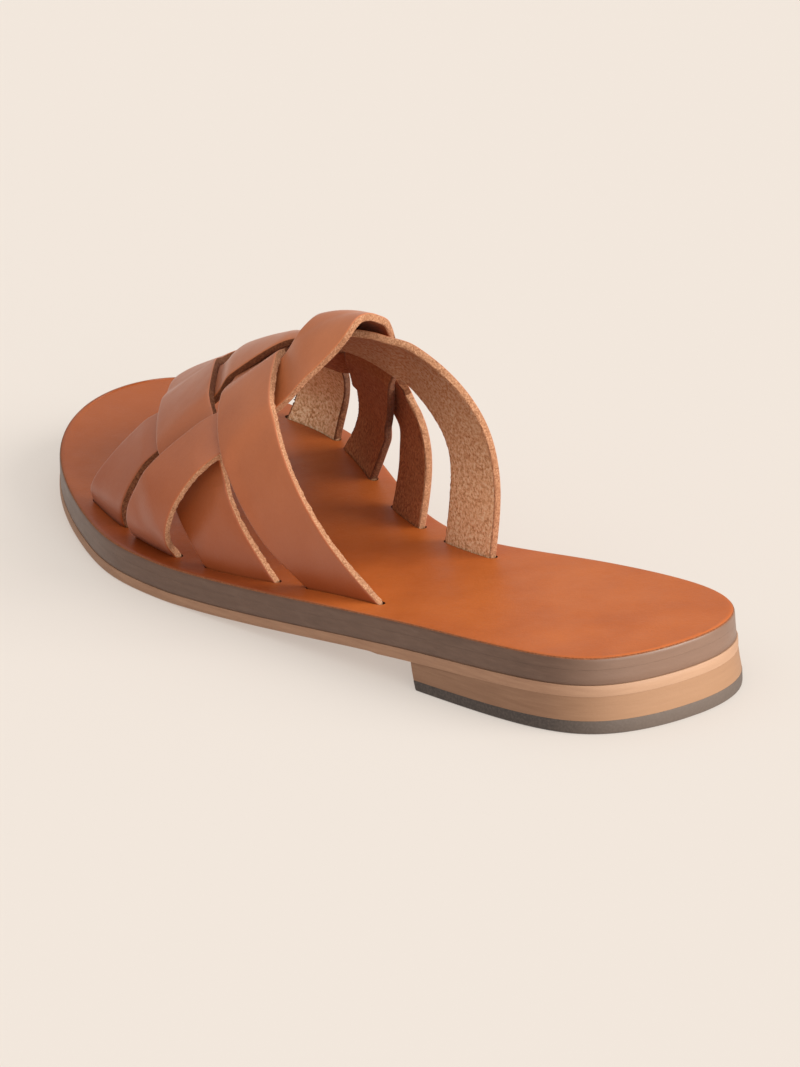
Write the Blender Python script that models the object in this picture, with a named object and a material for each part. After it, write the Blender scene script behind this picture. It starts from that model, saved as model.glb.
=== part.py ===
# Flat woven mule, left shoe: layered leather sole, low stacked heel, four straps woven over the instep.
# Sizes are in millimetres, heel at low y, toe at high y, the wearer's right (inner side) at high x.
import math

import bpy
import numpy as np

MM = 0.001

# Layer heights of the sole, from the footbed down
INSOLE_THICK = 3.3
MIDSOLE_THICK = 3.5
OUTSOLE_THICK = 2.9
LAYER_GAP = 0.3
SOLE_THICK = INSOLE_THICK + MIDSOLE_THICK + OUTSOLE_THICK + 2 * LAYER_GAP

# Heel
TOP_PIECE_BACK = 3.7
TOP_PIECE_BREAST = 2.5
HEEL_FLARE = 1.1
BREAST_OUTER_Y = 58.5
BREAST_INNER_Y = 70.5
BREAST_SLANT = 0.35

# Straps
STRAP_THICK = 2.2
STRAP_RAISE = 0.65
WEAVE_RAMP = 5.0
STRAP_ROOT_DEPTH = 2.9
SLOT_CLEARANCE = 0.35

# Mesh fineness
SOLE_STATIONS = 40
HEEL_STATIONS = 18
STRAP_STEPS = 46
STRAP_LANES = 5

# Plan of the sole, clockwise from the back of the heel along the outer side: place, x, y
OUTLINE = (
    ("heel back", 1.0, 0.0),
    ("heel outer corner", -19.2, 5.3),
    ("heel outer side", -30.6, 24.0),
    ("outer breast", -36.8, 60.0),
    ("outer waist", -41.9, 100.0),
    ("outer ball", -47.6, 155.0),
    ("little toe", -42.1, 190.0),
    ("outer toe corner", -20.0, 232.0),
    ("toe tip", 14.0, 251.0),
    ("big toe corner", 43.0, 238.5),
    ("big toe side", 50.8, 205.0),
    ("inner ball", 44.6, 175.0),
    ("inner waist", 22.8, 120.0),
    ("inner breast", 24.7, 75.0),
    ("heel inner side", 32.8, 28.0),
    ("heel inner corner", 22.0, 4.6),
)

# Underside of the outsole along the shoe: y, height above the floor
SOLE_PROFILE = (
    (0.0, 10.0),
    (20.0, 9.4),
    (40.0, 8.5),
    (60.0, 7.3),
    (80.0, 5.6),
    (100.0, 3.7),
    (120.0, 1.9),
    (140.0, 0.5),
    (152.0, 0.0),
    (186.0, 0.0),
    (200.0, 0.5),
    (225.0, 2.6),
    (252.0, 7.2),
)

# Lines of the strap slots on the footbed: y, outer slot x, inner slot x
SLOT_LINES = (
    (78.0, -31.0, 11.5),
    (100.0, -32.8, 12.7),
    (120.0, -36.5, 16.3),
    (140.0, -39.8, 22.9),
    (160.0, -40.1, 31.7),
    (180.0, -37.1, 40.4),
    (200.0, -31.9, 45.0),
    (214.0, -28.4, 43.1),
)

# Height of the last above the footbed: y, height
LAST_HEIGHT = (
    (80.0, 64.8),
    (110.0, 65.4),
    (140.0, 57.3),
    (170.0, 45.1),
    (205.0, 26.9),
)

# Arch across the last from the outer to the inner side: share of the way, across, up
LAST_ARCH = (
    (0.00, -1.000, 0.000),
    (0.08, -1.077, 0.181),
    (0.17, -0.949, 0.424),
    (0.33, -0.451, 0.804),
    (0.50, 0.062, 1.000),
    (0.67, 0.669, 0.796),
    (0.83, 0.976, 0.475),
    (0.92, 1.038, 0.264),
    (1.00, 1.000, 0.000),
)

# Course of each strap over the last, from the outer slot to the inner slot: name, y at each share
COURSE_SHARES = (0.0, 0.17, 0.33, 0.5, 0.67, 0.83, 1.0)
STRAPS = (
    ("first", 189.4, 185.1, 172.4, 147.6, 116.8, 96.9, 97.2),
    ("second", 162.4, 152.6, 133.8, 121.3, 136.2, 156.0, 173.9),
    ("third", 128.9, 150.3, 178.0, 194.9, 169.0, 138.2, 132.1),
    ("fourth", 93.0, 121.2, 142.3, 159.8, 179.8, 195.6, 202.4),
)

# Width of each strap at the outer slot, the top and the inner slot
WIDTH_SHARES = (0.0, 0.5, 0.83, 1.0)
STRAP_WIDTHS = {
    "first": (19.7, 20.0, 20.5, 20.8),
    "second": (17.8, 18.8, 22.6, 19.5),
    "third": (18.6, 19.8, 19.8, 19.6),
    "fourth": (16.8, 17.7, 18.8, 19.4),
}

# How far each strap stands off the last along its way
STAND_SHARES = (0.0, 0.1, 0.25, 0.4, 0.5, 0.6, 0.75, 0.9, 1.0)
STAND_OFF = {
    "first": (0.0, -1.7, -1.0, -1.05, -1.5, -0.5, 0.3, -0.1, 0.0),
    "second": (0.0, 2.6, 0.1, -0.7, 1.5, 0.7, 0.3, 0.4, 0.0),
    "third": (0.0, -2.0, -0.9, -1.1, -1.2, -0.4, 1.0, 1.8, 0.0),
    "fourth": (0.0, -0.3, 1.2, -1.1, -1.6, 0.0, 1.0, 0.1, 0.0),
}

# Plain weave: upper strap, lower strap, shares of the way between which they cross
CROSSINGS = (
    ("third", "first", 0.0, 1.0),
    ("first", "fourth", 0.0, 1.0),
    ("second", "first", 0.0, 1.0),
    ("second", "third", 0.0, 0.5),
    ("third", "second", 0.5, 1.0),
    ("fourth", "second", 0.0, 1.0),
    ("fourth", "third", 0.0, 1.0),
)


# Splines through the tables
def natural_spline(knots, values):
    knots = np.asarray(knots, float)
    values = np.asarray(values, float)
    count = len(knots)
    gaps = np.diff(knots)
    system = np.eye(count)
    rhs = np.zeros(count)
    for i in range(1, count - 1):
        system[i, i - 1] = gaps[i - 1]
        system[i, i] = 2 * (gaps[i - 1] + gaps[i])
        system[i, i + 1] = gaps[i]
        rhs[i] = 6 * ((values[i + 1] - values[i]) / gaps[i] - (values[i] - values[i - 1]) / gaps[i - 1])
    bends = np.linalg.solve(system, rhs)

    def at(x):
        x = np.clip(np.asarray(x, float), knots[0], knots[-1])
        i = np.clip(np.searchsorted(knots, x) - 1, 0, count - 2)
        h = gaps[i]
        left = (knots[i + 1] - x) / h
        right = (x - knots[i]) / h
        curve = ((left**3 - left) * bends[i] + (right**3 - right) * bends[i + 1]) * h * h / 6
        return left * values[i] + right * values[i + 1] + curve

    return at


def closed_spline(points):
    points = np.asarray(points, float)
    count = len(points)
    system = np.zeros((count, count))
    rhs = np.zeros((count, 2))
    for i in range(count):
        before, after = (i - 1) % count, (i + 1) % count
        system[i, before], system[i, i], system[i, after] = 1.0, 4.0, 1.0
        rhs[i] = 6 * (points[after] - 2 * points[i] + points[before])
    bends = np.linalg.solve(system, rhs)

    def at(t):
        t = np.asarray(t, float) % count
        i = np.floor(t).astype(int) % count
        j = (i + 1) % count
        right = (t - np.floor(t))[..., None]
        left = 1 - right
        curve = ((left**3 - left) * bends[i] + (right**3 - right) * bends[j]) / 6
        return left * points[i] + right * points[j] + curve

    return at


def monotone_curve(knots, values):
    knots = np.asarray(knots, float)
    values = np.asarray(values, float)
    gaps = np.diff(knots)
    slopes = np.diff(values) / gaps
    tangents = np.zeros(len(knots))
    tangents[0], tangents[-1] = slopes[0], slopes[-1]
    for i in range(1, len(knots) - 1):
        if slopes[i - 1] * slopes[i] > 0:
            w0 = 2 * gaps[i] + gaps[i - 1]
            w1 = gaps[i] + 2 * gaps[i - 1]
            tangents[i] = (w0 + w1) / (w0 / slopes[i - 1] + w1 / slopes[i])

    def at(x):
        x = np.clip(np.asarray(x, float), knots[0], knots[-1])
        i = np.clip(np.searchsorted(knots, x) - 1, 0, len(knots) - 2)
        h = gaps[i]
        u = (x - knots[i]) / h
        start = (1 + 2 * u) * (1 - u) ** 2 * values[i] + u * (1 - u) ** 2 * h * tangents[i]
        end = u * u * (3 - 2 * u) * values[i + 1] + u * u * (u - 1) * h * tangents[i + 1]
        return start + end

    return at


def column(table, index):
    return [row[index] for row in table]


# Sole shape
sole_bottom = monotone_curve(column(SOLE_PROFILE, 0), column(SOLE_PROFILE, 1))
OUTLINE_CURVE = closed_spline([row[1:] for row in OUTLINE])
TOE_INDEX = column(OUTLINE, 0).index("toe tip")
NEAR_TOE = np.linspace(TOE_INDEX - 1, TOE_INDEX + 1, 4001)
TOE_TURN = NEAR_TOE[OUTLINE_CURVE(NEAR_TOE)[:, 1].argmax()]
SOLE_LENGTH = OUTLINE_CURVE(TOE_TURN)[1]


def footbed(y):
    return sole_bottom(y) + SOLE_THICK


def side_of_outline(outer):
    last = TOE_TURN if outer else TOE_TURN - len(OUTLINE)
    t = np.linspace(0.0, last, 2400)
    points = OUTLINE_CURVE(t)
    ahead = OUTLINE_CURVE(t + 1e-3) - OUTLINE_CURVE(t - 1e-3)
    ahead /= np.linalg.norm(ahead, axis=1)[:, None]
    normals = np.stack([-ahead[:, 1], ahead[:, 0]], axis=1)
    stations = np.maximum.accumulate(points[:, 1])

    def at(y, outset):
        near = [np.interp(y, stations, c) for c in (points[:, 0], points[:, 1], normals[:, 0], normals[:, 1])]
        return np.stack([near[0] + outset * near[2], near[1] + outset * near[3]], axis=-1)

    return at


OUTER_SIDE = side_of_outline(True)
INNER_SIDE = side_of_outline(False)


# Meshes
def make_object(name, vertices, faces, material=None):
    mesh = bpy.data.meshes.new(name)
    mesh.from_pydata([tuple(v) for v in vertices], [], faces)
    mesh.validate()
    mesh.update()
    item = bpy.data.objects.new(name, mesh)
    bpy.context.scene.collection.objects.link(item)
    if material is not None:
        mesh.materials.append(material)
    return item


def make_material(name, colour, roughness):
    material = bpy.data.materials.new(name)
    material.use_nodes = True
    shader = material.node_tree.nodes["Principled BSDF"]
    shader.inputs["Base Color"].default_value = (*colour, 1.0)
    shader.inputs["Roughness"].default_value = roughness
    material.diffuse_color = (*colour, 1.0)
    return material


# A full length layer: each level is an outset from the plan and a height rule
def full_layer(name, levels, material):
    steps = np.arange(SOLE_STATIONS + 1) / SOLE_STATIONS
    length = SOLE_LENGTH
    y = length * (1 - np.cos(math.pi * steps)) / 2
    vertices = []
    loop_size = 2 * SOLE_STATIONS
    for outset, height in levels:
        outer = OUTER_SIDE(y, outset)
        inner = INNER_SIDE(y, outset)
        z = height(y)
        for i in range(SOLE_STATIONS + 1):
            vertices.append((outer[i, 0], outer[i, 1], z[i]))
        for i in range(SOLE_STATIONS - 1, 0, -1):
            vertices.append((inner[i, 0], inner[i, 1], z[i]))
    faces = loop_walls(loop_size, len(levels))
    faces += ladder_cap(0, SOLE_STATIONS, loop_size, False)
    faces += ladder_cap((len(levels) - 1) * loop_size, SOLE_STATIONS, loop_size, True)
    return make_object(name, vertices, faces, material)


def loop_walls(loop_size, level_count):
    faces = []
    for level in range(level_count - 1):
        low = level * loop_size
        high = low + loop_size
        for i in range(loop_size):
            j = (i + 1) % loop_size
            faces.append((low + j, low + i, high + i, high + j))
    return faces


# Rungs from the outer to the inner side close a layer
def ladder_cap(start, rungs, loop_size, up):
    faces = []
    for i in range(rungs):
        outer_a, outer_b = start + i, start + i + 1
        inner_a = start + (loop_size - i) % loop_size
        inner_b = start + (loop_size - i - 1) % loop_size
        face = [outer_a, outer_b, inner_b, inner_a]
        face = list(dict.fromkeys(face))
        faces.append(tuple(reversed(face)) if up else tuple(face))
    return faces


# A heel layer stops at the slanted breast
def heel_layer(name, levels, material):
    steps = np.arange(HEEL_STATIONS + 1) / HEEL_STATIONS
    share = 1 - np.cos(math.pi / 2 * steps)
    share = 0.55 * share + 0.45 * steps**2
    vertices = []
    loop_size = 2 * HEEL_STATIONS + 1
    for outset, height in levels:
        ahead = BREAST_SLANT * float(height(np.array(BREAST_OUTER_Y)))
        outer_y = (BREAST_OUTER_Y + ahead) * share
        inner_y = (BREAST_INNER_Y + ahead) * share
        outer = OUTER_SIDE(outer_y, outset)
        inner = INNER_SIDE(inner_y, outset)
        outer_z = height(outer_y)
        inner_z = height(inner_y)
        for i in range(HEEL_STATIONS + 1):
            vertices.append((outer[i, 0], outer[i, 1], outer_z[i]))
        for i in range(HEEL_STATIONS, 0, -1):
            vertices.append((inner[i, 0], inner[i, 1], inner_z[i]))
    faces = loop_walls(loop_size, len(levels))
    faces += ladder_cap(0, HEEL_STATIONS, loop_size, False)
    faces += ladder_cap((len(levels) - 1) * loop_size, HEEL_STATIONS, loop_size, True)
    return make_object(name, vertices, faces, material)


def top_piece_top(y):
    share = np.clip(np.asarray(y, float) / BREAST_INNER_Y, 0.0, 1.0)
    return TOP_PIECE_BACK + (TOP_PIECE_BREAST - TOP_PIECE_BACK) * share


# The last that the straps lie on
slot_outer = natural_spline(column(SLOT_LINES, 0), column(SLOT_LINES, 1))
slot_inner = natural_spline(column(SLOT_LINES, 0), column(SLOT_LINES, 2))
last_height = natural_spline(column(LAST_HEIGHT, 0), column(LAST_HEIGHT, 1))
arch_across = natural_spline(column(LAST_ARCH, 0), column(LAST_ARCH, 1))
arch_up = natural_spline(column(LAST_ARCH, 0), column(LAST_ARCH, 2))


def last_point(share, y):
    outer, inner = slot_outer(y), slot_inner(y)
    x = (outer + inner) / 2 + (inner - outer) / 2 * arch_across(share)
    z = footbed(y) + last_height(y) * arch_up(share)
    return np.stack(np.broadcast_arrays(x, y, z), axis=-1)


def last_normal(share, y):
    low = np.clip(share - 0.004, 0.0, 1.0)
    high = np.clip(share + 0.004, 0.0, 1.0)
    around = last_point(high, y) - last_point(low, y)
    along = last_point(share, y + 0.5) - last_point(share, y - 0.5)
    normal = np.cross(along, around)
    normal /= np.linalg.norm(normal, axis=-1)[..., None]
    return -normal


# Middle line and half width of a strap, both measured along the shoe
def strap_course(name):
    return natural_spline(COURSE_SHARES, COURSES[name])


def strap_half_width(name, share):
    course = strap_course(name)
    low = np.clip(share - 0.004, 0.0, 1.0)
    high = np.clip(share + 0.004, 0.0, 1.0)
    y = course(share)
    girth = np.linalg.norm(last_point(high, y) - last_point(low, y), axis=-1)
    slope = (course(high) - course(low)) / girth
    width = natural_spline(WIDTH_SHARES, STRAP_WIDTHS[name])(share)
    return width / 2 * np.sqrt(1 + slope**2)


COURSES = {row[0]: row[1:] for row in STRAPS}


# How far a strap stands off the last, higher over one strap and lower under another
def strap_offset(name, share, y):
    lift = np.zeros(np.shape(y))
    for upper, lower, start, end in CROSSINGS:
        if name not in (upper, lower):
            continue
        other = lower if name == upper else upper
        inside = strap_half_width(other, share) - np.abs(y - strap_course(other)(share))
        reach = np.clip(1 + inside / WEAVE_RAMP, 0.0, 1.0)
        reach = reach * reach * (3 - 2 * reach) * ((share >= start) & (share <= end))
        lift = lift + (reach if name == upper else -reach)
    stand_off = natural_spline(STAND_SHARES, STAND_OFF[name])(share)
    return stand_off + STRAP_RAISE * np.clip(lift, -1.0, 1.0)


# Rows of a strap from the outer root to the inner root
def strap_rows(name):
    steps = np.linspace(0.0, 1.0, STRAP_STEPS + 1)
    lanes = np.linspace(-1.0, 1.0, STRAP_LANES)
    rows = []
    for share in steps:
        share = np.full(STRAP_LANES, share)
        y = strap_course(name)(share) + lanes * strap_half_width(name, share)
        normal = last_normal(share, y)
        middle = last_point(share, y) + normal * strap_offset(name, share, y)[:, None]
        rows.append((middle, normal))
    down = np.array((0.0, 0.0, STRAP_ROOT_DEPTH))
    first, last = rows[0], rows[-1]
    level = [flat_normal(first[1]), flat_normal(last[1])]
    rows[0] = (first[0], level[0])
    rows[-1] = (last[0], level[1])
    return [(first[0] - down, level[0])] + rows + [(last[0] - down, level[1])]


def flat_normal(normal):
    flat = normal.copy()
    flat[:, 2] = 0.0
    return flat / np.linalg.norm(flat, axis=1)[:, None]


# A band of even thickness about a grid of rows
def band_mesh(rows, thick):
    lanes = len(rows[0][0])
    vertices = []
    for side in (0.5, -0.5):
        for middle, normal in rows:
            vertices.extend(middle + normal * thick * side)
    under = len(rows) * lanes
    faces = []
    for i in range(len(rows) - 1):
        for j in range(lanes - 1):
            a = i * lanes + j
            faces.append((a, a + lanes, a + lanes + 1, a + 1))
            faces.append((under + a, under + a + 1, under + a + lanes + 1, under + a + lanes))
        a, b = i * lanes, i * lanes + lanes - 1
        faces.append((a, under + a, under + a + lanes, a + lanes))
        faces.append((b, b + lanes, under + b + lanes, under + b))
    tail = (len(rows) - 1) * lanes
    for j in range(lanes - 1):
        faces.append((j, j + 1, under + j + 1, under + j))
        a = tail + j
        faces.append((a, under + a, under + a + 1, a + 1))
    return vertices, faces


# Slots cut through the footbed where the straps enter it
def slot_rows(name, share):
    lanes = np.linspace(-1.0, 1.0, STRAP_LANES)
    share = np.full(STRAP_LANES, share)
    half = strap_half_width(name, share)
    y = strap_course(name)(share) + lanes * (half + SLOT_CLEARANCE)
    normal = flat_normal(last_normal(share, y))
    middle = last_point(share, y)
    up = np.array((0.0, 0.0, 1.0))
    return [(middle + up * 4.0, normal), (middle - up * (INSOLE_THICK + 1.0), normal)]


def slot_cutter():
    vertices, faces = [], []
    for name in COURSES:
        for share in (0.0, 1.0):
            rows = slot_rows(name, share)
            if share < 0.5:
                rows.reverse()
            part_vertices, part_faces = band_mesh(rows, STRAP_THICK + 2 * SLOT_CLEARANCE)
            start = len(vertices)
            vertices.extend(part_vertices)
            faces.extend(tuple(i + start for i in face) for face in part_faces)
    cutter = make_object("slot_cutter", vertices, faces)
    hide_cutter(cutter)
    return cutter


def hide_cutter(item):
    item.hide_render = True
    item.display_type = "WIRE"


def add_boolean(item, operation, other):
    modifier = item.modifiers.new(operation.lower(), "BOOLEAN")
    modifier.operation = operation
    modifier.solver = "EXACT"
    modifier.object = other


# Sub-parts
def build_upper(material):
    bands = []
    for name in COURSES:
        vertices, faces = band_mesh(strap_rows(name), STRAP_THICK)
        bands.append(make_object("strap_" + name, vertices, faces, material))
    upper = bands[0]
    upper.name = "upper"
    for band in bands[1:]:
        hide_cutter(band)
        add_boolean(upper, "UNION", band)
    return upper


def build_insole(material):
    levels = (
        (0.0, lambda y: footbed(y) - INSOLE_THICK),
        (0.0, lambda y: footbed(y) - 1.3),
        (-0.4, lambda y: footbed(y) - 0.45),
        (-1.4, footbed),
    )
    insole = full_layer("insole", levels, material)
    add_boolean(insole, "DIFFERENCE", slot_cutter())
    return insole


def build_midsole(material):
    top = INSOLE_THICK + LAYER_GAP
    levels = (
        (0.0, lambda y: footbed(y) - top - MIDSOLE_THICK),
        (0.0, lambda y: footbed(y) - top),
    )
    return full_layer("midsole", levels, material)


def build_outsole(material):
    levels = (
        (-0.1, sole_bottom),
        (0.25, lambda y: sole_bottom(y) + 0.4),
        (0.25, lambda y: sole_bottom(y) + OUTSOLE_THICK),
    )
    return full_layer("outsole", levels, material)


def build_heel_stack(material):
    levels = (
        (HEEL_FLARE, lambda y: top_piece_top(y) + LAYER_GAP),
        (0.25, lambda y: sole_bottom(y) - LAYER_GAP),
    )
    return heel_layer("heel_stack", levels, material)


def build_heel_top_piece(material):
    levels = (
        (HEEL_FLARE, lambda y: 0.0 * np.asarray(y, float)),
        (HEEL_FLARE + 0.3, lambda y: 0.0 * np.asarray(y, float) + 0.5),
        (HEEL_FLARE, top_piece_top),
    )
    return heel_layer("heel_top_piece", levels, material)


# The middle of the box around the shoe goes to the origin, sizes go to metres
def settle(items):
    corners = []
    for item in items:
        corners.extend(np.array(v.co) for v in item.data.vertices)
    corners = np.array(corners)
    middle = (corners.min(axis=0) + corners.max(axis=0)) / 2
    for item in bpy.data.objects:
        for vertex in item.data.vertices:
            vertex.co.x = (vertex.co.x - middle[0]) * MM
            vertex.co.y = (vertex.co.y - middle[1]) * MM
            vertex.co.z = vertex.co.z * MM
        item.data.update()


def main():
    for item in list(bpy.data.objects):
        bpy.data.objects.remove(item, do_unlink=True)
    strap_leather = make_material("strap_leather", (0.36, 0.13, 0.055), 0.42)
    footbed_leather = make_material("footbed_leather", (0.38, 0.135, 0.05), 0.45)
    dark_leather = make_material("dark_leather", (0.16, 0.085, 0.05), 0.5)
    tan_leather = make_material("tan_leather", (0.45, 0.26, 0.15), 0.6)
    stacked_leather = make_material("stacked_leather", (0.42, 0.24, 0.13), 0.6)
    rubber = make_material("rubber", (0.09, 0.065, 0.05), 0.7)
    items = [
        build_outsole(tan_leather),
        build_midsole(dark_leather),
        build_insole(footbed_leather),
        build_heel_stack(stacked_leather),
        build_heel_top_piece(rubber),
        build_upper(strap_leather),
    ]
    settle(items)


main()
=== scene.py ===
# Looks of the woven flat mule, left shoe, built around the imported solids.
# Sizes are in millimetres, heel at low y, toe at high y, the wearer's right (inner side) at high x.
import math

import bmesh
import bpy
import numpy as np
from mathutils import Matrix, Vector


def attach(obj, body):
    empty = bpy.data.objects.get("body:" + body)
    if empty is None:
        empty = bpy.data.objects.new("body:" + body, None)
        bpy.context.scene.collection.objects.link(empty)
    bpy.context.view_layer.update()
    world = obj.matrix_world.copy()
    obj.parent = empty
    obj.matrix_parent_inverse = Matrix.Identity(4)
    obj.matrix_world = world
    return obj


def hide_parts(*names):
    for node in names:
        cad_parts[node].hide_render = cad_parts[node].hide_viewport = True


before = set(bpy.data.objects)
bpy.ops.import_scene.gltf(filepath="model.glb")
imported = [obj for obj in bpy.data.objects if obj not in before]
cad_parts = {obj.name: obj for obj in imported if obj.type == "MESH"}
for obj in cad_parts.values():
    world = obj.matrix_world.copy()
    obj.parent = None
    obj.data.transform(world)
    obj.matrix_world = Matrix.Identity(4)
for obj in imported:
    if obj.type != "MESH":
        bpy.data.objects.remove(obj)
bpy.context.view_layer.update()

MM = 0.001
MIDDLE = np.array((1.6928, 124.992, 0.0))

# Layer heights of the sole, from the footbed down
INSOLE_THICK = 3.3
MIDSOLE_THICK = 3.5
OUTSOLE_THICK = 2.9
LAYER_GAP = 0.3
SOLE_THICK = INSOLE_THICK + MIDSOLE_THICK + OUTSOLE_THICK + 2 * LAYER_GAP
GLUE_LINE = 0.03

# Heel: its lean fades out ahead of the breast, and the slant of its front fades out behind it
TOP_PIECE_BACK = 3.7
TOP_PIECE_BREAST = 2.5
HEEL_FLARE = 1.1
BREAST_OUTER_Y = 58.5
BREAST_INNER_Y = 70.5
BREAST_SLANT = 0.35
BREAST_FADE = 20.0
BREAST_LINE_X = -37.0
BREAST_LINE_WIDTH = 62.0
HEEL_LEAN = 0.5
LEAN_END_Y = 85.0
LEAN_RUN = 65.0
HEEL_ROUND_SHARE = 0.55
OPEN_EDGE_START_Y = BREAST_INNER_Y + 2.0
OPEN_EDGE_RUN = 4.0

# Straps
STRAP_THICK = 2.1
STRAP_RAISE = 1.12
WEAVE_RAMP = 11.0
STRAP_ROOT_DEPTH = 2.9
SLOT_CLEARANCE = 0.3
SLOT_END = 1.2
SLOT_ROUND = 0.6
SLOT_LEAST = 0.02
SLOT_CUT_BELOW = 1.0
SLOT_CUT_ABOVE = 4.0
EDGE_ROUND = 0.5
EDGE_FUZZ = 0.10

# Slight waves of a strap, calm at its ends: height, calm share, turns along and across
STRAP_WAVE = 0.10
STRAP_CALM = 0.15
SLOW_WAVE = (9.0, 1.7)
QUICK_WAVE = (23.0, -1.1)

# Rounded cut edge of a strap: in from the edge, down from the grain side, zone
# Zones of a strap's faces; the last zone is a darker cut edge, painted shade on the second and fourth
# straps
GRAIN, CUT, FLESH, DARK_CUT = range(4)
EDGE_PROFILE = (
    (0.22, 0.05, GRAIN),
    (0.05, 0.22, GRAIN),
    (0.00, 0.50, CUT),
    (0.00, 1.05, CUT),
    (0.00, 1.60, CUT),
    (0.08, 1.95, CUT),
)

# Rounded rim of the footbed from its underside up: outset, depth below the footbed
RIM_PROFILE = (
    (0.00, 1.30),
    (-0.05, 0.90),
    (-0.20, 0.52),
    (-0.48, 0.22),
    (-0.85, 0.06),
    (-1.50, 0.00),
)

# Zones of the footbed: which level of its edge has the dye, the top line or the raw cut
BED_GRAIN, BED_LINE, BED_DYE, BED_RAW = range(4)
BED_ZONES = {-1: BED_RAW, 0: BED_DYE, 1: BED_DYE, 2: BED_DYE, 3: BED_LINE}

# Mesh fineness
SOLE_STATIONS = 180
SOLE_LANES = 36
MIDSOLE_LANES = 6
OUTSOLE_LANES = 10
HEEL_STATIONS = 60
HEEL_LANES = 12
STRAP_STEPS = 260
STRAP_LANES = 26
SLOT_STEPS = 24
OUTLINE_STEPS = 6000
TOE_STEPS = 4001

# Small steps over which slopes are taken
SHARE_STEP = 0.004
Y_STEP = 0.5
TURN_STEP = 1e-3

# Edges sharper than these angles stay crisp, in degrees
INSOLE_CREASE = 40
SOLE_CREASE = 50
HEEL_CREASE = 35
STRAP_CREASE = 60

# Plan of the sole, clockwise from the back of the heel along the outer side: place, x, y
OUTLINE = (
    ("heel back", 1.0, 0.0),
    ("heel outer corner", -19.2, 5.3),
    ("heel outer side", -30.6, 24.0),
    ("outer breast", -36.8, 60.0),
    ("outer waist", -41.9, 100.0),
    ("outer ball", -47.6, 155.0),
    ("little toe", -42.1, 190.0),
    ("outer toe corner", -20.0, 232.0),
    ("toe tip", 14.0, 251.0),
    ("big toe corner", 43.0, 238.5),
    ("big toe side", 50.8, 205.0),
    ("inner ball", 44.6, 175.0),
    ("inner waist", 22.8, 120.0),
    ("inner breast", 24.7, 75.0),
    ("heel inner side", 32.8, 28.0),
    ("heel inner corner", 22.0, 4.6),
)

# Underside of the outsole along the shoe: y, height above the floor
SOLE_PROFILE = (
    (0.0, 10.0),
    (20.0, 9.4),
    (40.0, 8.5),
    (60.0, 7.3),
    (80.0, 5.6),
    (100.0, 3.7),
    (120.0, 1.9),
    (140.0, 0.5),
    (152.0, 0.0),
    (186.0, 0.0),
    (200.0, 0.5),
    (225.0, 2.6),
    (252.0, 7.2),
)

# Lines of the strap slots on the footbed: y, outer slot x, inner slot x
SLOT_LINES = (
    (78.0, -31.0, 11.5),
    (100.0, -32.8, 12.7),
    (120.0, -36.5, 16.3),
    (140.0, -39.8, 22.9),
    (160.0, -40.1, 31.7),
    (180.0, -37.1, 40.4),
    (200.0, -31.9, 45.0),
    (214.0, -28.4, 43.1),
)

# Height of the last above the footbed: y, height
LAST_HEIGHT = (
    (80.0, 64.8),
    (110.0, 65.4),
    (140.0, 57.3),
    (170.0, 45.1),
    (205.0, 26.9),
)

# Arch across the last from the outer to the inner side: share of the way, across, up
LAST_ARCH = (
    (0.00, -1.000, 0.000),
    (0.08, -1.077, 0.181),
    (0.17, -0.949, 0.424),
    (0.33, -0.451, 0.804),
    (0.50, 0.062, 1.000),
    (0.67, 0.669, 0.796),
    (0.83, 0.976, 0.475),
    (0.92, 1.038, 0.264),
    (1.00, 1.000, 0.000),
)

# Course of each strap over the last, from the outer slot to the inner slot: name, y at each share
COURSE_SHARES = (0.0, 0.17, 0.33, 0.5, 0.67, 0.83, 1.0)
STRAPS = (
    ("first", 189.4, 185.1, 172.4, 147.6, 116.8, 96.9, 97.2),
    ("second", 162.4, 152.6, 133.8, 121.3, 136.2, 156.0, 173.9),
    ("third", 128.9, 150.3, 178.0, 194.9, 169.0, 138.2, 132.1),
    ("fourth", 93.0, 121.2, 142.3, 159.8, 179.8, 195.6, 202.4),
)
COURSES = {row[0]: row[1:] for row in STRAPS}

# Width of each strap at the outer slot, the top, the inner side and the inner slot
WIDTH_SHARES = (0.0, 0.5, 0.83, 1.0)
STRAP_WIDTHS = {
    "first": (19.7, 20.0, 20.5, 20.8),
    "second": (17.8, 18.8, 22.6, 19.5),
    "third": (18.6, 19.8, 19.8, 19.6),
    "fourth": (16.8, 17.7, 18.8, 19.4),
}

# How far each strap stands off the last along its way
STAND_SHARES = (0.0, 0.1, 0.25, 0.4, 0.5, 0.6, 0.75, 0.9, 1.0)
STAND_OFF = {
    "first": (0.0, -1.7, -1.0, -1.05, -1.5, -0.5, 0.3, -0.1, 0.0),
    "second": (0.0, 2.6, 0.1, -0.7, 1.5, 0.7, 0.3, 0.4, 0.0),
    "third": (0.0, -2.0, -0.9, -1.1, -1.2, -0.4, 1.0, 1.8, 0.0),
    "fourth": (0.0, -0.3, 1.2, -1.1, -1.6, 0.0, 1.0, 0.1, 0.0),
}

# Plain weave: upper strap, lower strap, shares of the way between which they cross
CROSSINGS = (
    ("third", "first", 0.0, 1.0),
    ("first", "fourth", 0.0, 1.0),
    ("second", "first", 0.0, 1.0),
    ("second", "third", 0.0, 0.5),
    ("third", "second", 0.5, 1.0),
    ("fourth", "second", 0.0, 1.0),
    ("fourth", "third", 0.0, 1.0),
)

# Shares of the way between which the cut edges are darker; on the second and fourth straps this darker edge
# is painted shade
DARK_CUT_SPANS = {"first": (0.0, 0.50), "second": (0.63, 1.0), "third": (0.24, 0.78), "fourth": (0.42, 1.0)}

# Straps whose flesh side lies in shade, painted with a darker, shaded copy of the suede
SHADED_STRAPS = ("second", "third")

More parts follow.
